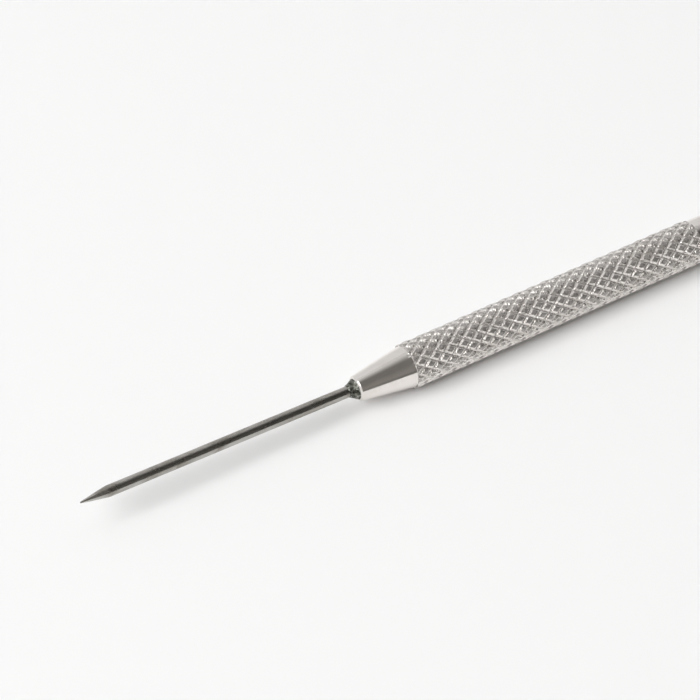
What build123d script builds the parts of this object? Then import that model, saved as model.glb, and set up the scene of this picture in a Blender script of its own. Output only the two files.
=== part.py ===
from build123d import *

import math
import os

# Pottery needle tool: a ground steel needle, soldered into the coned nose of a
# knurled and nickel-plated handle. It lies on its knurl along X, with the point
# towards -X and Z up. The origin is on the surface it lies on, under the middle
# of its box. While the pieces are made, X is zero at the nose's end face.

# Needle
needle_diameter = 1.6
needle_reach = 41.7
point_length = 4.0
point_end_diameter = 0.2
foot_chamfer = 0.15

# Socket drilled in the nose, wider than the needle so that solder can run in
socket_clearance = 0.22
socket_depth = 8.0
drill_point_angle = 118.0
foot_clearance = 0.35
solder_film = 0.115

# Coned nose, with a bevel round its end face
nose_diameter = 3.6
nose_bevel = 0.28
cone_length = 8.2
cone_base_diameter = 6.0

# Solder fillet, from the nose's end face down to the needle
fillet_length = 1.25
fillet_margin = 0.02
fillet_bulge_height = 0.05
fillet_edge = 0.05

# Knurl: two families of V grooves leave rows of raised, flat-topped diamonds
rod_diameter = 6.0
knurl_starts = 12
knurl_pitch = 2.26
knurl_row_count = 42
knurl_raise = 0.25
knurl_depth = 0.28
land_share = 0.6

# Smooth rear shank with a rounded end
shank_length = 22.0
end_rounding = 1.2

# Radii and places that follow from the sizes above
needle_radius = needle_diameter / 2
socket_radius = needle_radius + socket_clearance
nose_face_radius = nose_diameter / 2 - nose_bevel
rod_radius = rod_diameter / 2
land_radius = rod_radius + knurl_raise
groove_radius = land_radius - knurl_depth
half_pitch = knurl_pitch / 2
half_step = 180 / knurl_starts
knurl_end = cone_length + knurl_row_count * half_pitch
shank_end = knurl_end + shank_length

# The needle set in the solder with its point leaning up. It leans about the
# middle of the socket's depth, with a film of solder between it and the wall.
lean_rise = 2 * (socket_clearance - solder_film) / socket_depth
lean_angle = math.degrees(math.atan(lean_rise))
lean = Pos(socket_depth / 2, 0, 0) * Rot(0, lean_angle, 0) * Pos(-socket_depth / 2, 0, 0)


def turned(outline):
    """The solid that a closed outline beside the X axis makes when it is turned."""
    return revolve(make_face(outline), Axis.X, 360)


def needle():
    """A straight rod, ground to a long point in front and chamfered at its foot."""
    foot = socket_depth - foot_clearance
    outline = Polyline(
        (-needle_reach, 0),
        (-needle_reach, point_end_diameter / 2),
        (-needle_reach + point_length, needle_radius),
        (foot - foot_chamfer, needle_radius),
        (foot, needle_radius - foot_chamfer),
        (foot, 0),
        close=True,
    )
    return lean * turned(outline)


def socket():
    """The drilled hole: a straight bore and the cone that the drill's point leaves."""
    drill_cone = socket_radius / math.tan(math.radians(drill_point_angle / 2))
    outline = Polyline(
        (0, 0),
        (0, socket_radius),
        (socket_depth, socket_radius),
        (socket_depth + drill_cone, 0),
        close=True,
    )
    return turned(outline)


def nose():
    """The turned cone, from its bevelled end face to the start of the knurl."""
    outline = Polyline(
        (0, 0),
        (0, nose_face_radius),
        (nose_bevel, nose_diameter / 2),
        (cone_length, cone_base_diameter / 2),
        (cone_length, 0),
        close=True,
    )
    return turned(outline)


def rear_shank():
    """The smooth bar behind the knurl. Its side rounds over into a flat end face."""
    round_start = (shank_end - end_rounding, rod_radius)
    round_end = (shank_end, rod_radius - end_rounding)
    side = Polyline((knurl_end, 0), (knurl_end, rod_radius), round_start)
    rounding = TangentArc(round_start, round_end, tangent=(1, 0))
    end = Polyline(round_end, (shank_end, 0), (knurl_end, 0))
    return turned([side, rounding, end])


def diamond_corners():
    """The four corners of a quarter of the diamond over the axis at X zero.

    The outline's tip and side are crossings of the grooves. The flat land has a
    tip and a side above them, placed so that the bevel through all four is flat.
    """
    crossing = math.radians(half_step)
    tip = Vector(half_pitch, 0, groove_radius)
    side = Vector(0, groove_radius * math.sin(crossing), groove_radius * math.cos(crossing))
    land_middle = Vector(0, 0, land_radius)
    land_tip = land_middle + Vector(half_pitch * land_share, 0, 0)
    across_bevel = (side - tip).cross(land_tip - tip)
    land_side = land_middle + Vector(0, across_bevel.dot(tip - land_middle) / across_bevel.Y, 0)
    return tip, side, land_side, land_tip


def diamond(ends):
    """The bevels and the land of a diamond that is centred over the axis at X zero.

    ends holds the directions in X that it reaches in from its middle: a whole one
    has both, and one at the end of the knurl is cut through its middle.
    """
    quarter = diamond_corners()
    outlines = []
    for end in ends:
        for hand in (-1, 1):
            outlines.append([(p.X * end, p.Y * hand, p.Z) for p in quarter])
    land_side, land_tip = quarter[2:]
    land_tips = [(land_tip.X * end, 0, land_tip.Z) for end in ends]
    other_land_side = (0, -land_side.Y, land_side.Z)
    outlines.append([land_side, land_tips[0], other_land_side, *land_tips[1:]])
    return [Face(Wire.make_polygon(outline)) for outline in outlines]


def diamond_places(row):
    """Where the diamonds of one row lie, one for each start, round the bar."""
    across = Pos(cone_length + row * half_pitch, 0, 0)
    return [across * Rot((2 * start + row % 2) * half_step, 0, 0) for start in range(knurl_starts)]


def end_face(row):
    """The flat face that closes the knurl through the middles of a row."""
    side, land_side = diamond_corners()[1:3]
    rim = [side, land_side, Vector(0, -land_side.Y, land_side.Z)]
    outline = [(place * Pos(p)).position for place in diamond_places(row) for p in rim]
    return Face(Wire.make_polygon(outline))


def knurled_grip():
    """The knurled length of the bar, with half diamonds against its two end faces."""
    last = knurl_row_count
    faces = [end_face(0), end_face(last)]
    for row in range(last + 1):
        ends = [end for end in (-1, 1) if 0 <= row + end <= last]
        one = diamond(ends)
        faces += [place * face for place in diamond_places(row) for face in one]
    return Solid(Shell(faces))


def handle():
    """Nose, grip and rear shank in one piece, with the socket drilled in."""
    return knurled_grip().fuse(nose().solid(), rear_shank().solid()) - socket()


def solder_joint():
    """The solder that fills the socket round the needle and runs out into a fillet."""
    foot_radius = nose_face_radius - fillet_margin
    edge_radius = needle_radius + fillet_edge
    middle_radius = (foot_radius + edge_radius) / 2 + fillet_bulge_height
    radii = (foot_radius, middle_radius, edge_radius)
    sections = []
    for reach, radius in zip((0, fillet_length / 2, fillet_length), radii):
        middle = (-reach, 0, (reach + socket_depth / 2) * lean_rise)
        sections.append(Plane(middle, z_dir=(-1, 0, 0)) * Circle(radius))
    return loft(sections) + socket() - needle()


pieces = {"handle": handle(), "needle": needle(), "solder_joint": solder_joint()}
point_end = pieces["needle"].bounding_box().min.X
axis_height = -pieces["handle"].bounding_box().min.Z
stand = Pos(-(point_end + shank_end) / 2, 0, axis_height)

os.makedirs("parts", exist_ok=True)
for name, piece in pieces.items():
    export_step(stand * piece, f"parts/{name}.step")
    print(name, "volume", round(piece.volume, 2))
print("from", round(point_end, 4), "to", round(shank_end, 4), "axis height", round(axis_height, 4))
print("lean", round(lean_angle, 3), "degrees")
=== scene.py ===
# %% [markdown]
# # A pottery needle tool
# The real tool is three pieces of metal: a ground steel needle, a nickel-plated
# handle with a diamond knurl, and the solder that holds one in the other. A packed
# engineering model already gives each piece its place and its size. This lesson
# makes a finer mesh and a finish for each of them, where that model has it, and
# then sets the table, the lights and the camera.

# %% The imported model
import math
import random

import bmesh
import bpy
from mathutils import Matrix, Vector, noise


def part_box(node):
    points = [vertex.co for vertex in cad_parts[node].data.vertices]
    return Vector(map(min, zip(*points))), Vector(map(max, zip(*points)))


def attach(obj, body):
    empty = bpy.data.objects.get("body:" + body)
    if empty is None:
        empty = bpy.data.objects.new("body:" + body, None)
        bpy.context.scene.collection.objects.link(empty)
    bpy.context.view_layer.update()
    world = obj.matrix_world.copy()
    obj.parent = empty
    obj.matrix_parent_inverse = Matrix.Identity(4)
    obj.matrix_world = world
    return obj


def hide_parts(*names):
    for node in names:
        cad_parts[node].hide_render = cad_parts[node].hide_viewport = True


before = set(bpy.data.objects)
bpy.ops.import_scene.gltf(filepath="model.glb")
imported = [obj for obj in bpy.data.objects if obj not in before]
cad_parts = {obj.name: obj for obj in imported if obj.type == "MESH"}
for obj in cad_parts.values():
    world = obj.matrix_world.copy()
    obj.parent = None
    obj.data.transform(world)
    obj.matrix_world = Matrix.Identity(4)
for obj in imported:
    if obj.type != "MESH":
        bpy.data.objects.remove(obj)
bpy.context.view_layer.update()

# %% [markdown]
# ## Sizes
# Blender works in metres, and the tool is best thought of in millimetres, so `mm`
# turns one into the other. The handle's ends, its axis and its thickness are read from
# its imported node. The other sizes are the same as in the engineering model, so the
# fine meshes fit it.

# %% Sizes of the tool
mm = 0.001
handle_low, handle_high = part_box("handle")

nose_x = handle_low.x
rear_x = handle_high.x
axis_z = (handle_low.z + handle_high.z) / 2
land_radius = (handle_high.z - handle_low.z) / 2

knurl_starts = 12
knurl_row_count = 42
half_pitch = 1.13 * mm
knurl_depth = 0.28 * mm
cone_length = 8.2 * mm
knurl_x = nose_x + cone_length
knurl_end_x = knurl_x + knurl_row_count * half_pitch

needle_radius = 0.8 * mm
needle_reach = 41.7 * mm
socket_depth = 8 * mm
socket_clearance = 0.22 * mm
solder_film = 0.115 * mm
socket_radius = needle_radius + socket_clearance
lean_angle = math.atan(2 * (socket_clearance - solder_film) / socket_depth)
print("knurl from", round(knurl_x / mm, 2), "to", round(knurl_end_x / mm, 2), "mm")

# %% [markdown]
# ## The camera
# The camera comes first, because every finish below is judged through it. It looks
# down on the tool from its left front, about 43 cm away through a long lens, so the
# needle points to the lower left and the grip leaves the picture on the right. Its
# place is worked out from two angles and a distance, which are easier to adjust than
# three coordinates.

# %% Camera
azimuth = math.radians(-31.76)
elevation = math.radians(44.15)
camera_distance = 430 * mm
middle_behind_nose = 5.14 * mm
middle_beside_axis = 9.61 * mm
looked_at = Vector((nose_x + middle_behind_nose, middle_beside_axis, 0))
half_picture_px = 350
focal_px = 3132
nearest_seen = 10 * mm
farthest_seen = 40

back = Vector((
    math.sin(azimuth) * math.cos(elevation),
    -math.cos(azimuth) * math.cos(elevation),
    math.sin(elevation),
))
camera_data = bpy.data.cameras.new("camera")
camera_data.angle = 2 * math.atan(half_picture_px / focal_px)
camera_data.clip_start = nearest_seen
camera_data.clip_end = farthest_seen
camera = bpy.data.objects.new("camera", camera_data)
bpy.context.scene.collection.objects.link(camera)
camera.location = looked_at + back * camera_distance
camera.rotation_mode = "QUATERNION"
camera.rotation_quaternion = (-back).to_track_quat("-Z", "Y")
bpy.context.scene.camera = camera
bpy.context.scene.view_settings.view_transform = "Standard"
print("camera at", [round(v / mm, 1) for v in camera.location], "mm")

# %% [markdown]
# ## Rings of points
# All three pieces are round, so all three can be made as a row of rings, each joined
# to the next by a belt of quads. A spun curve or a Screw modifier would do this for a
# plain turned shape. A class that collects rings is used here instead, because it
# also takes rings that aren't plain circles, such as a lump of solder or the rows of
# a knurl.

# %% Circles and arcs
def circle(x, radius, count, middle_z):
    """Evenly spaced points round an axis along X, from the top on."""
    turns = [2 * math.pi * k / count for k in range(count)]
    return [(x, radius * math.sin(a), middle_z + radius * math.cos(a)) for a in turns]


def arc(x, radius, size, start, end, steps):
    """Places and radii along an arc of an outline, between two angles in degrees."""
    angles = [math.radians(start + (end - start) * n / steps) for n in range(steps + 1)]
    return [(x + size * math.cos(a), radius + size * math.sin(a)) for a in angles]


print("an arc of 14 steps has", len(arc(0, 0, 1, 90, 0, 14)), "points")

# %% A skin of rings
class Skin:
    """Collects rings of points along a piece, and the faces that join them."""

    def __init__(self, count):
        self.count = count
        self.points = []
        self.faces = []
        self.last = None
        self.last_is_pole = False

    def pole(self, point):
        """A single point that closes the skin at one of its ends."""
        start = len(self.points)
        self.points.append(point)
        if self.last is not None:
            for k in range(self.count):
                after = (k + 1) % self.count
                self.faces.append((self.last + k, self.last + after, start))
        self.last = start
        self.last_is_pole = True

    def ring(self, points):
        """A ring of points, joined to the ring or the pole before it."""
        start = self.loose_ring(points)
        if self.last is not None:
            for k in range(self.count):
                after = (k + 1) % self.count
                near = (self.last + k, self.last + after)
                if self.last_is_pole:
                    near = (self.last,)
                self.faces.append((*near, start + after, start + k))
        self.last = start
        self.last_is_pole = False
        return start

    def loose_ring(self, points):
        """A ring of points that isn't joined to anything yet."""
        start = len(self.points)
        self.points.extend(points)
        return start

    def turn(self, outline, middle_z):
        """Plain circles for places along X and radii, and a pole where a radius is 0."""
        for x, radius in outline:
            if radius == 0:
                self.pole((x, 0, middle_z))
            else:
                self.ring(circle(x, radius, self.count, middle_z))


sample = Skin(4)
sample.turn([(0, 0), (1, 1)], 0)
print("a pole and a ring of 4 are joined by", len(sample.faces), "faces")

# %% From a skin to an object
sharp_degrees = 38
# 50 is neutral, and more keeps large faces flatter beside small ones.
large_face_weight = 70


def mesh_piece(name, skin, materials, place=None):
    """A smooth-shaded object made of a skin, with its faces turned outwards."""
    mesh = bpy.data.meshes.new(name)
    mesh.from_pydata(skin.points, [], skin.faces)
    work = bmesh.new()
    work.from_mesh(mesh)
    bmesh.ops.recalc_face_normals(work, faces=work.faces)
    work.to_mesh(mesh)
    work.free()
    if place is not None:
        mesh.transform(place)
    mesh.shade_smooth()
    mesh.set_sharp_from_angle(angle=math.radians(sharp_degrees))
    for material in materials:
        mesh.materials.append(material)
    piece = bpy.data.objects.new(name, mesh)
    bpy.context.scene.collection.objects.link(piece)
    weighted = piece.modifiers.new("face weighted normals", "WEIGHTED_NORMAL")
    weighted.weight = large_face_weight
    weighted.keep_sharp = True
    print(name, len(mesh.vertices), "points", len(mesh.polygons), "faces")
    return piece


print("faces that meet at over", sharp_degrees, "degrees get a crisp edge")

# %% [markdown]
# ## Shader effects that the metals share
# Three effects are used by more than one metal, so each is a node group with its own
# inputs. Fine turning marks run round a piece that was turned or ground. Grain is the
# fine roughness of rolled lands, old steel and cooled solder. Haze is the cloudy trace
# that fingers leave, and it changes how rough the metal looks. The groups only put out
# values. The shader itself stays in each material.

# %% Node helpers
def new_group(name, inputs, outputs):
    """An empty shader node group with float sockets, and its input and output nodes."""
    group = bpy.data.node_groups.new(name, "ShaderNodeTree")
    for label, value in inputs.items():
        socket = group.interface.new_socket(
            label, in_out="INPUT", socket_type="NodeSocketFloat"
        )
        socket.default_value = value
    for label in outputs:
        group.interface.new_socket(label, in_out="OUTPUT", socket_type="NodeSocketFloat")
    entry = group.nodes.new("NodeGroupInput")
    leave = group.nodes.new("NodeGroupOutput")
    return group, entry, leave


def add_node(tree, kind, inputs=None, **settings):
    """A node with its settings, and with values or links for its inputs."""
    node = tree.nodes.new(kind)
    for key, value in settings.items():
        setattr(node, key, value)
    for key, value in (inputs or {}).items():
        if isinstance(value, bpy.types.NodeSocket):
            tree.links.new(value, node.inputs[key])
        else:
            node.inputs[key].default_value = value
    return node


def maths(tree, operation, first, second=0.0):
    """The result of one sum on values or sockets."""
    inputs = {0: first, 1: second}
    return add_node(tree, "ShaderNodeMath", inputs, operation=operation).outputs[0]


def ramp(tree, value, low, high, to_low, to_high):
    """A value moved smoothly from one range to another."""
    inputs = {0: value, 1: low, 2: high, 3: to_low, 4: to_high}
    node = add_node(tree, "ShaderNodeMapRange", inputs, interpolation_type="SMOOTHSTEP")
    return node.outputs[0]


def blend_colours(tree, share, first, second):
    """Two colours mixed by a share from 0 to 1."""
    inputs = {0: share, 6: first, 7: second}
    return add_node(tree, "ShaderNodeMix", inputs, data_type="RGBA").outputs[2]


print("helpers are ready for groups, nodes, sums, ramps and colours")

# %% Turning marks
def make_turning_marks():
    """Rings round the X axis, some finer and some deeper, as a height from 0 to 1."""
    group, entry, leave = new_group(
        "turning marks", {"Rings per metre": 9000.0, "Wander": 0.15}, ["Height"]
    )
    place = add_node(group, "ShaderNodeTexCoord").outputs["Object"]
    apart = add_node(group, "ShaderNodeSeparateXYZ", {0: place})
    sway = add_node(
        group, "ShaderNodeTexNoise", {"Vector": place, "Scale": 900.0, "Detail": 1.0}
    )
    along = maths(group, "MULTIPLY", apart.outputs["X"], entry.outputs["Rings per metre"])
    swayed = maths(group, "MULTIPLY", sway.outputs[0], entry.outputs["Wander"])
    across = maths(group, "ADD", along, swayed)
    rings = add_node(
        group,
        "ShaderNodeTexNoise",
        {"W": across, "Scale": 1.0, "Detail": 3.0, "Roughness": 0.65},
        noise_dimensions="1D",
    )
    group.links.new(rings.outputs[0], leave.inputs["Height"])
    return group


turning_marks = make_turning_marks()
print("made the group", turning_marks.name)

# %% Grain
pit_distances = (0.08, 0.3)


def make_grain():
    """Fine bumps as a height from 0 to 1, and a mask of small dark pits."""
    group, entry, leave = new_group(
        "grain", {"Grains per metre": 9000.0}, ["Height", "Pits"]
    )
    place = add_node(group, "ShaderNodeTexCoord").outputs["Object"]
    scale = entry.outputs["Grains per metre"]
    fine = add_node(
        group,
        "ShaderNodeTexNoise",
        {"Vector": place, "Scale": scale, "Detail": 1.5, "Roughness": 0.6},
    )
    cells = add_node(group, "ShaderNodeTexVoronoi", {"Vector": place, "Scale": scale})
    pits = ramp(group, cells.outputs["Distance"], *pit_distances, 1.0, 0.0)
    group.links.new(fine.outputs[0], leave.inputs["Height"])
    group.links.new(pits, leave.inputs["Pits"])
    return group


grain = make_grain()
print("made the group", grain.name)

# %% Haze
cloud_stretch = (0.45, 1.0, 1.0)
cloud_look = {"Detail": 5.0, "Roughness": 0.62, "Distortion": 0.6}
cloud_levels = (0.36, 0.68)


def make_haze():
    """Clouds drawn out along X, as fingers leave them, as a mask from 0 to 1."""
    group, entry, leave = new_group("haze", {"Clouds per metre": 260.0}, ["Mask"])
    place = add_node(group, "ShaderNodeTexCoord").outputs["Object"]
    stretch = add_node(
        group, "ShaderNodeMapping", {"Vector": place, "Scale": cloud_stretch}
    ).outputs[0]
    clouds = add_node(
        group,
        "ShaderNodeTexNoise",
        {"Vector": stretch, "Scale": entry.outputs["Clouds per metre"], **cloud_look},
    )
    mask = ramp(group, clouds.outputs[0], *cloud_levels, 0.0, 1.0)
    group.links.new(mask, leave.inputs["Mask"])
    return group


haze = make_haze()
print("made the group", haze.name)

# %% [markdown]
# ## Nickel plate
# The handle was turned, knurled and then plated, so it's one metal all over, with a
# warm grey mirror on its smooth parts. On those parts the old turning marks still
# show through the plate. The knurl has no turning marks left. Its lands are rough
# from the wheels and dulled by hands and clay, dark with fine paler grains. The walls
# of its grooves are still a clean mirror, and their bottoms are painted part of the
# way towards a flat, rougher grey, which darkens them.
#
# So the plate is one function with a switch for the two kinds of surface. The mesh
# carries the depth of its grooves as an attribute, and that depth tells the material
# whether a point is on a land, on a wall or at the bottom.

# %% The plate's material
nickel_colour = (0.85, 0.815, 0.785, 1)
nickel_shade = (0.79, 0.75, 0.715, 1)
# A grey painted into the bottoms of the knurl's grooves, which darkens them.
groove_bottom_grey = (0.52, 0.50, 0.47, 1)
land_dark = (0.05, 0.045, 0.04, 1)
land_light = (0.35, 0.328, 0.305, 1)
nickel_roughness = (0.10, 0.17)
land_edge_depths = (0.02, 0.10)
dull_share = 0.65
dull_roughness = 0.1
bottom_grey_depths = (0.8, 1.0)
bottom_grey_share = 0.4
bottom_grey_roughness = 0.4
mottle_heights = (0.42, 0.58)
clean_metal_share = 0.98
metal_loss_share = 0.6
grain_height = 30.0
grain_strength = 0.8
mark_strength = 0.10
mark_rise = 0.004 * mm


def use_group(tree, group, **inputs):
    """A node that places a group in a tree, with its own values."""
    node = tree.nodes.new("ShaderNodeGroup")
    node.node_tree = group
    for label, value in inputs.items():
        node.inputs[label.replace("_", " ")].default_value = value
    return node


def new_metal(name):
    """A material whose shader is a plain metal, and its tree."""
    material = bpy.data.materials.new(name)
    material.use_nodes = True
    tree = material.node_tree
    shader = tree.nodes["Principled BSDF"]
    shader.inputs["Metallic"].default_value = 1.0
    return material, tree, shader


def link_finish(tree, shader, colour, roughness, height, strength, rise):
    """Links a colour, a roughness and the bumps of a height to a metal's shader."""
    inputs = {"Height": height, "Strength": strength, "Distance": rise}
    bump = add_node(tree, "ShaderNodeBump", inputs)
    tree.links.new(colour, shader.inputs["Base Color"])
    tree.links.new(roughness, shader.inputs["Roughness"])
    tree.links.new(bump.outputs[0], shader.inputs["Normal"])


def use_attribute(tree, name):
    """The value that the points of a mesh carry under a name."""
    return add_node(tree, "ShaderNodeAttribute", attribute_name=name).outputs["Fac"]


def make_plate(name, knurled):
    """Nickel plate for the turned parts of the handle, or for its knurl."""
    material, tree, shader = new_metal(name)
    cloud = use_group(tree, haze, Clouds_per_metre=260.0).outputs["Mask"]
    colour = blend_colours(tree, cloud, nickel_colour, nickel_shade)
    roughness = ramp(tree, cloud, 0.0, 1.0, *nickel_roughness)
    if knurled:
        depth = use_attribute(tree, "groove_depth")
        # The bottoms of the grooves are painted towards a flat, rougher, less metallic
        # grey, which darkens them.
        bottom_grey = ramp(tree, depth, *bottom_grey_depths, 0.0, bottom_grey_share)
        dull = ramp(tree, depth, *land_edge_depths, dull_share, 0.0)
        grains = use_group(tree, grain, Grains_per_metre=4600.0).outputs["Height"]
        mottle = ramp(tree, grains, *mottle_heights, 0.0, 1.0)
        land = blend_colours(tree, mottle, land_dark, land_light)
        colour = blend_colours(tree, bottom_grey, colour, groove_bottom_grey)
        colour = blend_colours(tree, dull, colour, land)
        rougher = maths(tree, "MULTIPLY", bottom_grey, bottom_grey_roughness)
        roughness = maths(tree, "ADD", roughness, rougher)
        rougher = maths(tree, "MULTIPLY", dull, dull_roughness)
        roughness = maths(tree, "ADD", roughness, rougher)
        covered = maths(tree, "ADD", bottom_grey, dull)
        metal_loss = maths(tree, "MULTIPLY", covered, metal_loss_share)
        metallic = maths(tree, "SUBTRACT", clean_metal_share, metal_loss)
        tree.links.new(metallic, shader.inputs["Metallic"])
        height = maths(tree, "MULTIPLY", grains, grain_height)
        strength = grain_strength
    else:
        marks = use_group(tree, turning_marks, Rings_per_metre=9000.0)
        height = marks.outputs["Height"]
        strength = mark_strength
    link_finish(tree, shader, colour, roughness, height, strength, mark_rise)
    return material


turned_plate = make_plate("turned plate", knurled=False)
knurled_plate = make_plate("knurled plate", knurled=True)
print("made", turned_plate.name, "and", knurled_plate.name)

# %% [markdown]
# ## The knurl
# A diamond knurl is rolled into the bar by two wheels, whose teeth press two crossing
# families of V grooves. What is left between them stands up as flat-topped diamonds,
# 12 round the bar here. A bump map would leave the outline of the grip straight, and
# it couldn't mirror the lamps in the bevels, so the diamonds are real faces.
#
# Two slanting coordinates make this easy. One grows across the first family of
# grooves and the other across the second, and each grows by 2 from one groove to the
# next. The mesh is a net of lines along both, with lines only where the shape bends:
# the middle of the land, its rounded edge, the bevel and the groove. Every diamond is
# a little different, as they are where a wheel has pressed them: each is tilted and
# sunk by its own amount, and small dents roughen its land.

# %% The net's lines
knurl_outline_shares = (
    (0.0, 0.0),
    (0.29, 0.02),
    (0.48, 0.07),
    (0.61, 0.20),
    (0.74, 0.46),
    (0.91, 0.85),
)
mirrored_outline = [(2 - place, depth) for place, depth in knurl_outline_shares[:0:-1]]
net_lines = [*knurl_outline_shares, (1.0, 1.0), *mirrored_outline]
lines_per_diamond = len(net_lines)
net_round = knurl_starts * lines_per_diamond
net_rows = knurl_row_count * lines_per_diamond


def net_line(number):
    """Where a line of the net lies across the grooves, and how deep it lies there."""
    turns, line = divmod(number, lines_per_diamond)
    place, depth = net_lines[line]
    return 2 * turns + place, depth


print("each knurl row of the net has", net_round, "points")

# %% The knurl's points
hip_sharpness = 5
tilt_seed = 12
unevenness = random.Random(tilt_seed)
# Every second place of this grid holds a diamond.
diamond_tilts = {
    (row, step): (unevenness.gauss(0, 1), unevenness.gauss(0, 1), unevenness.random())
    for row in range(-1, knurl_row_count + 2)
    for step in range(2 * knurl_starts)
}
tilt_rise = 0.018 * mm
sink_most = 0.03 * mm
dent_rise = 0.022 * mm
dents_per_metre = 3400
end_ease = 0.08 * mm
end_drop = 0.02 * mm
crisp_edge = 0.015 * mm


def knurl_point(row, place):
    """A point of the net, and the depth of the groove there as a share.

    Where bevels meet, their depths are joined by powers, which rounds the hip a little.
    The tilt, the sink and the dents only ever lower the surface.
    """
    first, first_depth = net_line((row + place) // 2)
    second, second_depth = net_line((row - place) // 2)
    powers = first_depth**hip_sharpness + second_depth**hip_sharpness
    depth = min(powers ** (1 / hip_sharpness), 1.0)
    rows = (first + second) / 2
    steps = (first - second) / 2
    across = 2 * round(first / 2)
    along = 2 * round(second / 2)
    diamond = ((across + along) // 2, (across - along) // 2 % (2 * knurl_starts))
    tilt_along, tilt_round, sink = diamond_tilts[diamond]
    lean = tilt_along * (rows - diamond[0])
    lean += tilt_round * (steps - (across - along) / 2)
    x = knurl_x + rows * half_pitch
    from_end = min(rows, knurl_row_count - rows) * half_pitch
    drop = end_drop * max(0, 1 - from_end / end_ease) ** 2
    angle = math.pi * steps / knurl_starts
    spot = Vector((x, land_radius * math.sin(angle), land_radius * math.cos(angle)))
    dent = dent_rise * noise.noise(spot * dents_per_metre)
    land = min(0, tilt_rise * lean - sink_most * sink + dent) - drop
    uneven = land * (1 - depth) + min(0, dent) * depth
    radius = land_radius - knurl_depth * depth + uneven
    return (x, radius * math.sin(angle), axis_z + radius * math.cos(angle)), depth


print("drew", len(diamond_tilts), "tilts, about twice as many as there are diamonds")

# %% The knurl's rings
def knurl_edge(row, outwards):
    """A ring just beyond an end of the knurl, which keeps the edge there crisp."""
    ring = []
    for k in range(net_round):
        x, y, z = knurl_point(row, 2 * k + row % 2)[0]
        rise = z - axis_z
        shrink = 1 - crisp_edge / math.hypot(y, rise)
        ring.append((x + outwards * crisp_edge, y * shrink, axis_z + rise * shrink))
    return ring


def add_knurl(skin):
    """Adds the whole knurl to a skin, and gives the groove depth of its points.

    The depths start with the cone's last ring. That ring and the knurl's front edge
    count as land, so that the step up to the knurl is as dull as the lands. The edge
    behind the knurl counts as the bottom of a groove and takes the bottoms' grey.
    """
    depths = [0.0] * (2 * net_round)
    starts = []
    skin.ring(knurl_edge(0, -1))
    for row in range(net_rows + 1):
        made = [knurl_point(row, 2 * k + row % 2) for k in range(net_round)]
        points = [point for point, depth in made]
        depths += [depth for point, depth in made]
        starts.append(skin.ring(points) if row == 0 else skin.loose_ring(points))
    for row in range(-1, net_rows):
        odd = row % 2
        for k in range(net_round):
            after = (k + 1) % net_round
            right = after if odd else k
            left = k if odd else (k - 1) % net_round
            corners = [(row, k), (row + 1, right), (row + 2, k), (row + 1, left)]
            inside = [(r, n) for r, n in corners if 0 <= r <= net_rows]
            skin.faces.append([starts[r] + n for r, n in inside])
    skin.last = starts[-1]
    skin.ring(knurl_edge(net_rows, 1))
    return depths + [1.0] * net_round


print("the knurl has", net_rows + 1, "rings between its edges")

# %% [markdown]
# ## The handle
# The outline of the handle starts inside the nose, where the drill left a cone at the
# end of the socket. It comes out along the socket's wall, crosses the small end face,
# rounds the lip and runs up the cone to the knurl. Behind the knurl it follows the
# smooth shank to its rounded end. The whole handle is one closed skin, as it's one
# piece of bar.

# %% The handle's outline
nose_radius = 1.8 * mm
face_edge = 0.02 * mm
lip = 0.28 * mm
lip_shares = ((0.3, 0.42), (0.62, 0.78), (0.85, 0.96))
cone_start_share = 1.2
cone_base_radius = 3.0 * mm
cone_swell = 0.05 * mm
shank_radius = 3.0 * mm
end_rounding = 1.2 * mm
end_face_shares = (0.98, 0.7, 0.3, 0)
shoulder = 0.06 * mm
shank_ease = 0.01 * mm
shank_ease_length = 0.1 * mm
cone_steps = 14
shank_steps = 6
rounding_steps = 14
drill_half_angle = math.radians(59)
drill_cone = socket_radius / math.tan(drill_half_angle)


def cone_outline():
    """The lip and the side of the cone, which swells a little behind the lip."""
    face_radius = nose_radius - lip
    outline = [
        (nose_x, face_radius - face_edge),
        (nose_x, face_radius),
        (nose_x + face_edge, face_radius + 2 * face_edge),
    ]
    for along, outwards in lip_shares:
        outline.append((nose_x + lip * along, face_radius + lip * outwards))
    cone_start = lip * cone_start_share
    for n in range(cone_steps + 1):
        share = n / cone_steps
        x = nose_x + cone_start + (cone_length - cone_start - shoulder) * share
        straight = nose_radius + (cone_base_radius - nose_radius) * share
        swell = cone_swell * math.sin(math.pi * share) * (1 - share)
        outline.append((x, straight + swell))
    return outline


def shank_outline():
    """The smooth bar behind the knurl, its rounded end and its end face."""
    start = knurl_end_x + shoulder
    rounding_x = rear_x - end_rounding
    face_radius = shank_radius - end_rounding
    outline = [
        (start, shank_radius - shank_ease),
        (start + shank_ease_length, shank_radius),
    ]
    for n in range(1, shank_steps):
        x = start + (rounding_x - start) * n / shank_steps
        outline.append((x, shank_radius))
    outline += arc(rounding_x, face_radius, end_rounding, 90, 0, rounding_steps)
    return outline + [(rear_x, face_radius * share) for share in end_face_shares]


print("the drill left a cone", round(drill_cone / mm, 2), "mm long")

# %% The handle's mesh
def make_handle():
    """The whole handle, with its socket open in the nose."""
    skin = Skin(net_round)
    skin.turn([
        (nose_x + socket_depth + drill_cone, 0),
        (nose_x + socket_depth, socket_radius),
        (nose_x, socket_radius),
    ], axis_z)
    skin.turn(cone_outline(), axis_z)
    knurl_from = len(skin.faces)
    first_knurl_point = len(skin.points) - net_round
    depths = add_knurl(skin)
    knurl_to = len(skin.faces)
    skin.turn(shank_outline(), axis_z)
    piece = mesh_piece("turned_handle", skin, [turned_plate, knurled_plate])
    for face in piece.data.polygons[knurl_from:knurl_to]:
        face.material_index = 1
    attribute = piece.data.attributes.new("groove_depth", "FLOAT", "POINT")
    for number, depth in enumerate(depths, first_knurl_point):
        attribute.data[number].value = depth
    return piece


handle = make_handle()
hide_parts("handle")
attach(handle, "root")
print("handle reaches", round(nose_x / mm, 2), "to", round(rear_x / mm, 2), "mm")

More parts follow.
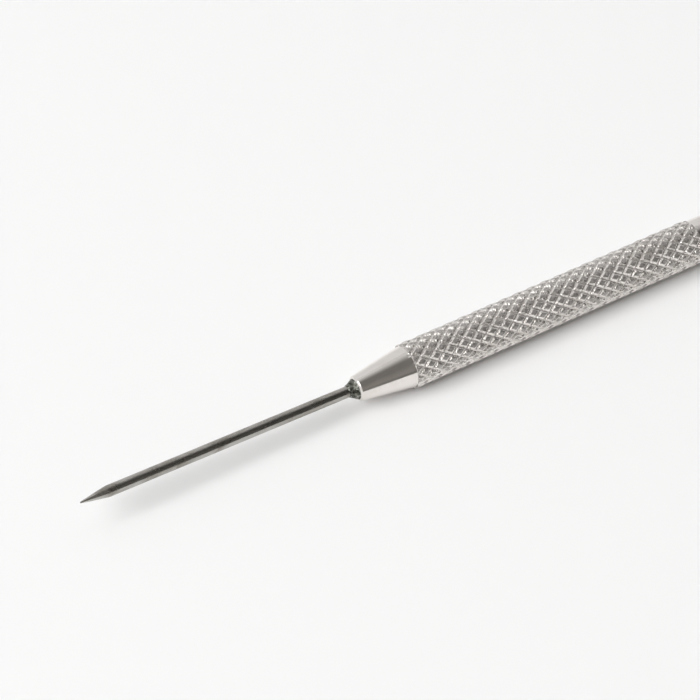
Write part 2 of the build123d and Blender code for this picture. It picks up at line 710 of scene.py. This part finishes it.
# %% [markdown]
# ## Needle steel
# The needle is hardened steel without any plate, so it's darker and less of a mirror
# than the handle. It was ground between wheels, which leaves very fine marks round
# it, and a thin brown-grey tarnish has settled in patches. The point is the same
# steel and was ground in the same way, so one material serves for all of it.

# %% Steel material
steel_colour = (0.47, 0.455, 0.43, 1)
tarnish_colour = (0.29, 0.275, 0.245, 1)
steel_roughness = (0.20, 0.30)
pit_share = 0.7
grain_height_share = 0.5
steel_strength = 0.2


def make_steel():
    """Ground and slightly tarnished steel."""
    material, tree, shader = new_metal("needle steel")
    cloud = use_group(tree, haze, Clouds_per_metre=500.0).outputs["Mask"]
    marks = use_group(tree, turning_marks, Rings_per_metre=14000.0).outputs["Height"]
    grains = use_group(tree, grain, Grains_per_metre=9000.0)
    pits = maths(tree, "MULTIPLY", grains.outputs["Pits"], pit_share)
    spotted = maths(tree, "MAXIMUM", cloud, pits)
    colour = blend_colours(tree, spotted, steel_colour, tarnish_colour)
    roughness = ramp(tree, cloud, 0.0, 1.0, *steel_roughness)
    bumps = maths(tree, "MULTIPLY", grains.outputs["Height"], grain_height_share)
    height = maths(tree, "ADD", marks, bumps)
    link_finish(tree, shader, colour, roughness, height, steel_strength, mark_rise)
    return material


needle_steel = make_steel()
print("made", needle_steel.name)

# %% [markdown]
# ## The needle
# The needle is made straight, lying along X with zero at the end face of the nose.
# Then it's tipped up about the middle of the socket, by the small angle at which it
# was set in the solder. Its point is ground to a long cone with sides that swell
# slightly, which keeps the tip strong.

# %% Needle mesh
point_length = 4.0 * mm
point_radius = 0.1 * mm
point_swell = 0.02 * mm
tip_face_share = 0.6
tip_edge = 0.01 * mm
point_ease = 0.12 * mm
foot_gap = 0.35 * mm
foot_chamfer = 0.15 * mm
point_steps = 12
body_steps = 16
needle_round = 72


def needle_outline():
    """The needle from its tip to its foot in the socket."""
    outline = [(-needle_reach, 0), (-needle_reach, point_radius * tip_face_share)]
    for n in range(point_steps + 1):
        share = n / point_steps
        x = -needle_reach + tip_edge + (point_length - tip_edge) * share
        straight = point_radius + (needle_radius - point_radius) * share
        outline.append((x, straight + point_swell * math.sin(math.pi * share)))
    start = -needle_reach + point_length + point_ease
    foot = socket_depth - foot_gap
    length = foot - foot_chamfer - start
    for n in range(body_steps + 1):
        outline.append((start + length * n / body_steps, needle_radius))
    return outline + [(foot, needle_radius - foot_chamfer), (foot, 0)]


lean_pivot = Matrix.Translation((socket_depth / 2, 0, 0))
lean = lean_pivot @ Matrix.Rotation(lean_angle, 4, "Y") @ lean_pivot.inverted()
needle_place = Matrix.Translation((nose_x, 0, axis_z)) @ lean

needle_skin = Skin(needle_round)
needle_skin.turn(needle_outline(), 0)
needle = mesh_piece("ground_needle", needle_skin, [needle_steel], needle_place)
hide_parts("needle")
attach(needle, "root")
tip = needle_place @ Vector((-needle_reach, 0, 0))
print("tip at", [round(v / mm, 2) for v in tip], "mm")

# %% [markdown]
# ## Solder
# Solder was run into the gap between the needle and its socket, and it froze in a
# rough collar where it came out. It's duller and darker than the two metals that it
# joins, greenish-grey from old flux. Small spots where it froze smooth are less
# rough, and a pale colour is painted on them as a highlight.

# %% Solder material
solder_colour = (0.25, 0.255, 0.22, 1)
flux_colour = (0.022, 0.024, 0.017, 1)
painted_glint_colour = (0.72, 0.73, 0.68, 1)
solder_roughness = (0.40, 0.16)
dirt_hollows = (0.2, 0.7)
least_dirt = 0.1
dirt_share = 0.95
painted_glint_heights = (0.56, 0.66)
solder_strength = 0.9
solder_rise = 0.03 * mm


def make_solder_metal():
    """Rough grey solder with dark flux in its hollows, and painted highlights on smoother
    spots.
    """
    material, tree, shader = new_metal("old solder")
    cloud = use_group(tree, haze, Clouds_per_metre=1600.0).outputs["Mask"]
    grains = use_group(tree, grain, Grains_per_metre=5200.0).outputs["Height"]
    dirt = ramp(tree, use_attribute(tree, "hollow"), *dirt_hollows, least_dirt, 1.0)
    dirt = maths(tree, "MULTIPLY", dirt, dirt_share)
    colour = blend_colours(tree, dirt, solder_colour, flux_colour)
    # Painted highlights: where the grains stand highest inside the clouds, a pale colour
    # is mixed in and the roughness drops.
    glint_spots = ramp(tree, grains, *painted_glint_heights, 0.0, 1.0)
    painted_glints = maths(tree, "MULTIPLY", glint_spots, cloud)
    colour = blend_colours(tree, painted_glints, colour, painted_glint_colour)
    roughness = ramp(tree, painted_glints, 0.0, 1.0, *solder_roughness)
    link_finish(tree, shader, colour, roughness, grains, solder_strength, solder_rise)
    return material


old_solder = make_solder_metal()
print("made", old_solder.name)

# %% [markdown]
# ## The solder's mesh
# The solder is a sleeve with an outside and an inside. The outside follows the
# socket's wall and then swells into the lumpy collar in front of the nose. The inside
# follows the needle. Only the collar shows, and its lumps are real: each point is
# moved in or out by noise that depends on its place, so the result is the same every
# time.

# %% Solder mesh
fillet_length = 1.25 * mm
fillet_foot_radius = 1.5 * mm
fillet_edge_radius = 0.84 * mm
fillet_power = 0.8
lump_height = 0.24 * mm
lump_shift = Vector((3.1, 7.7, 1.9))
large_lumps_per_mm = 1.35
small_lumps_per_mm = 3.4
large_lump_share = 0.75
small_lump_share = 0.45
first_fade_share = 0.1
fade_power = 0.6
flat_hollow = 0.5
hollow_slope = 0.7
collar_steps = 30
solder_round = 96


def needle_middle(x):
    """The height of the needle's axis at a distance behind the nose's end face."""
    return (socket_depth / 2 - x) * math.tan(lean_angle)


def lumps(point):
    """How far the collar swells at a point, from about -1 to 1."""
    place = Vector(point) / mm
    large = noise.noise(place * large_lumps_per_mm + lump_shift)
    small = noise.noise(place * small_lumps_per_mm)
    return large_lump_share * large + small_lump_share * small


print("the needle's axis rises by", round(needle_middle(0) / mm, 3), "mm at the nose")

# %% The solder's collar
def collar_ring(share):
    """One ring of the collar, from the nose's end face at 0 to the needle at 1.

    It also gives how hollow each point is, which tells the material where dirt is.
    """
    x = -fillet_length * share
    ease = share * share * (3 - 2 * share)
    middle = needle_middle(x) * ease
    narrowing = (fillet_edge_radius - fillet_foot_radius) * share**fillet_power
    width = fillet_foot_radius + narrowing
    fade_share = first_fade_share + (1 - first_fade_share) * share
    fade = math.sin(math.pi * min(1, fade_share)) ** fade_power
    ring = []
    hollows = []
    for k in range(solder_round):
        angle = 2 * math.pi * k / solder_round
        spot = (x, width * math.sin(angle), width * math.cos(angle))
        swell = lumps(spot)
        radius = width + lump_height * swell * fade
        ring.append((x, radius * math.sin(angle), middle + radius * math.cos(angle)))
        hollows.append(flat_hollow - hollow_slope * swell)
    return ring, hollows


def make_solder():
    """The sleeve in the socket and the collar in front of it, as one closed skin."""
    skin = Skin(solder_round)
    hollows = []
    skin.pole((socket_depth + drill_cone, 0, 0))
    skin.turn([(socket_depth, socket_radius), (0, socket_radius)], 0)
    hidden = len(skin.points)
    for n in range(collar_steps + 1):
        ring, ring_hollows = collar_ring(n / collar_steps)
        skin.ring(ring)
        hollows += ring_hollows
    foot = socket_depth - foot_gap
    for x in (-fillet_length, 0, foot):
        skin.ring(circle(x, needle_radius, solder_round, needle_middle(x)))
    skin.pole((foot, 0, needle_middle(foot)))
    place = Matrix.Translation((nose_x, 0, axis_z))
    piece = mesh_piece("solder_collar", skin, [old_solder], place)
    attribute = piece.data.attributes.new("hollow", "FLOAT", "POINT")
    for number, value in enumerate(hollows, hidden):
        attribute.data[number].value = value
    return piece


solder = make_solder()
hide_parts("solder_joint")
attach(solder, "root")
print("the collar is", round(fillet_length / mm, 2), "mm long")

# %% [markdown]
# ## The table and the lights
# Polished metal shows its surroundings more than itself, so the light is set up the
# way a photographer would do it. The table is white and wide, and the sky is white
# too. A dark card stands in front, on the right, and bends over the tool. Its
# reflection is the dark band along the cone and the needle. The band stops in a crisp
# line where the table starts. Its other edge is soft, because the card is painted from
# dark to white over its top. A second dark card closes the far end on the right, so
# that the walls of the knurl that face it stay dark.
#
# What the metal mirrors and what lights the table are set apart. The metal mirrors a
# large white screen on the left and a bright sky. Behind the screen a key lamp makes
# the soft shadow, and a fill lamp stands almost overhead. Neither shows in a mirror,
# and as a light the sky is dimmer than it looks, which keeps the white table from
# burning out.

# %% Sheets of the set
sheet_roughness = 0.9


def dull_paint(name):
    """A material without any gloss, and the socket for its colour."""
    material = bpy.data.materials.new(name)
    material.use_nodes = True
    shader = material.node_tree.nodes["Principled BSDF"]
    shader.inputs["Roughness"].default_value = sheet_roughness
    shader.inputs["Specular IOR Level"].default_value = 0.0
    return material, shader.inputs["Base Color"]


def stage_sheet(name, points, faces, paint):
    """A sheet of the set, which isn't a part of the tool."""
    mesh = bpy.data.meshes.new(name)
    mesh.from_pydata(points, [], faces)
    mesh.materials.append(paint)
    sheet = bpy.data.objects.new(name, mesh)
    bpy.context.scene.collection.objects.link(sheet)
    return sheet


def plain_sheet(name, corners, colour):
    """A flat sheet of the set in one colour."""
    paint, paint_colour = dull_paint(name)
    paint_colour.default_value = colour
    return stage_sheet(name, corners, [range(len(corners))], paint)


print("the set is painted with a roughness of", sheet_roughness)

# %% Table
table_reach = 12
table_colour = (0.93, 0.93, 0.93, 1)
table_corners = [
    (-table_reach, -table_reach, 0),
    (table_reach, -table_reach, 0),
    (table_reach, table_reach, 0),
    (-table_reach, table_reach, 0),
]
plain_sheet("table", table_corners, table_colour)
print("the table is", 2 * table_reach, "m wide")

# %% The dark card's paint
card_black = (0, 0, 0, 1)
card_light = (1.0, 0.965, 0.91, 1)
card_white = (0.95, 0.95, 0.95, 1)
low_degrees = (2.0, 20.0)
low_greys = (0.215, 0.345)
high_degrees = (20.0, 58.0)
high_grey_loss = 0.10
right_places = (0.5, 0.8)
right_grey_share = 0.42
white_degrees = (76.0, 116.0)


def card_colour(tree):
    """The card's colour, by the angle at which a point of it is seen from the tool."""
    place = add_node(tree, "ShaderNodeTexCoord").outputs["Object"]
    apart = add_node(tree, "ShaderNodeSeparateXYZ", {0: place})
    ahead = maths(tree, "MULTIPLY", apart.outputs["Y"], -1.0)
    angle = maths(tree, "ARCTAN2", apart.outputs["Z"], ahead)
    angle = maths(tree, "DEGREES", angle)
    low = ramp(tree, angle, *low_degrees, *low_greys)
    high = ramp(tree, angle, *high_degrees, 0.0, high_grey_loss)
    grey = maths(tree, "SUBTRACT", low, high)
    right = ramp(tree, apart.outputs["X"], *right_places, 1.0, right_grey_share)
    grey = maths(tree, "MULTIPLY", grey, right)
    dark = blend_colours(tree, grey, card_black, card_light)
    white = ramp(tree, angle, *white_degrees, 0.0, 1.0)
    return blend_colours(tree, white, dark, card_white)


card_paint, card_paint_colour = dull_paint("card paint")
card_paint.node_tree.links.new(card_colour(card_paint.node_tree), card_paint_colour)
print("the card turns white between", white_degrees, "degrees")

# %% The dark card's sheet
card_radius = 2.0
card_left = -0.3
card_right = 2.0
card_bend = 122
card_wing_top = 66
card_wing_slope = 16
left_wing = 1.0
right_wing = 4.0
card_steps = 61

card_edges = []
for n in range(card_steps + 1):
    bend = card_bend * n / card_steps
    y = -card_radius * math.cos(math.radians(bend))
    z = card_radius * math.sin(math.radians(bend))
    spread = max(0, min(1, (card_wing_top - bend) / card_wing_slope))
    card_edges.append((card_left - left_wing * spread, y, z))
    card_edges.append((card_right + right_wing * spread, y, z))
card_faces = [(2 * n, 2 * n + 1, 2 * n + 3, 2 * n + 2) for n in range(card_steps)]
dark_card = stage_sheet("dark card", card_edges, card_faces, card_paint)
dark_card.data.shade_smooth()
dark_card.visible_camera = False
print("the card bends over by", card_bend, "degrees")

# %% End card
end_card_x = 2.6
end_card_colour = (0.2, 0.195, 0.185, 1)
end_card_outline = ((-2, 0), (3.6, 0), (3.6, 1.8), (1.1, 1.8), (0.4, 0.7), (-2, 0.7))
end_card_corners = [(end_card_x, y, z) for y, z in end_card_outline]
end_card = plain_sheet("end card", end_card_corners, end_card_colour)
end_card.visible_camera = False
print("the end card stands", end_card_x, "m to the right")

# %% Lamps
def soft_lamp(name, direction, distance, width, height, watts):
    """A wide lamp that faces the tool."""
    towards = Vector(direction).normalized()
    lamp_data = bpy.data.lights.new(name, "AREA")
    lamp_data.shape = "RECTANGLE"
    lamp_data.size = width
    lamp_data.size_y = height
    lamp_data.energy = watts
    lamp = bpy.data.objects.new(name, lamp_data)
    bpy.context.scene.collection.objects.link(lamp)
    lamp.location = towards * distance
    lamp.rotation_mode = "QUATERNION"
    lamp.rotation_quaternion = towards.to_track_quat("Z", "Y")
    print(name, "at", [round(v, 2) for v in lamp.location], "m")
    return lamp


left_side = (-0.74, -0.06, 0.67)
overhead = (-0.3, 0.1, 0.95)
soft_lamp("white screen", left_side, distance=3.0, width=2.7, height=2.1, watts=34)
key_lamp = soft_lamp(
    "key lamp", left_side, distance=5.0, width=3.6, height=2.8, watts=135
)
fill_lamp = soft_lamp(
    "fill lamp", overhead, distance=3.2, width=3.6, height=3.6, watts=18
)
key_lamp.visible_glossy = False
fill_lamp.visible_glossy = False

# %% Sky
mirrored_sky = 0.78
lighting_sky = 0.53
world = bpy.data.worlds.new("white studio")
world.use_nodes = True
sky = world.node_tree
background = sky.nodes["Background"]
background.inputs["Color"].default_value = (1, 1, 1, 1)
light_path = add_node(sky, "ShaderNodeLightPath")
seen = [light_path.outputs[label] for label in ("Is Camera Ray", "Is Glossy Ray")]
strength = ramp(sky, maths(sky, "MAXIMUM", *seen), 0.0, 1.0, lighting_sky, mirrored_sky)
sky.links.new(strength, background.inputs["Strength"])
bpy.context.scene.world = world
print("the sky lights at", lighting_sky, "and is mirrored at", mirrored_sky)
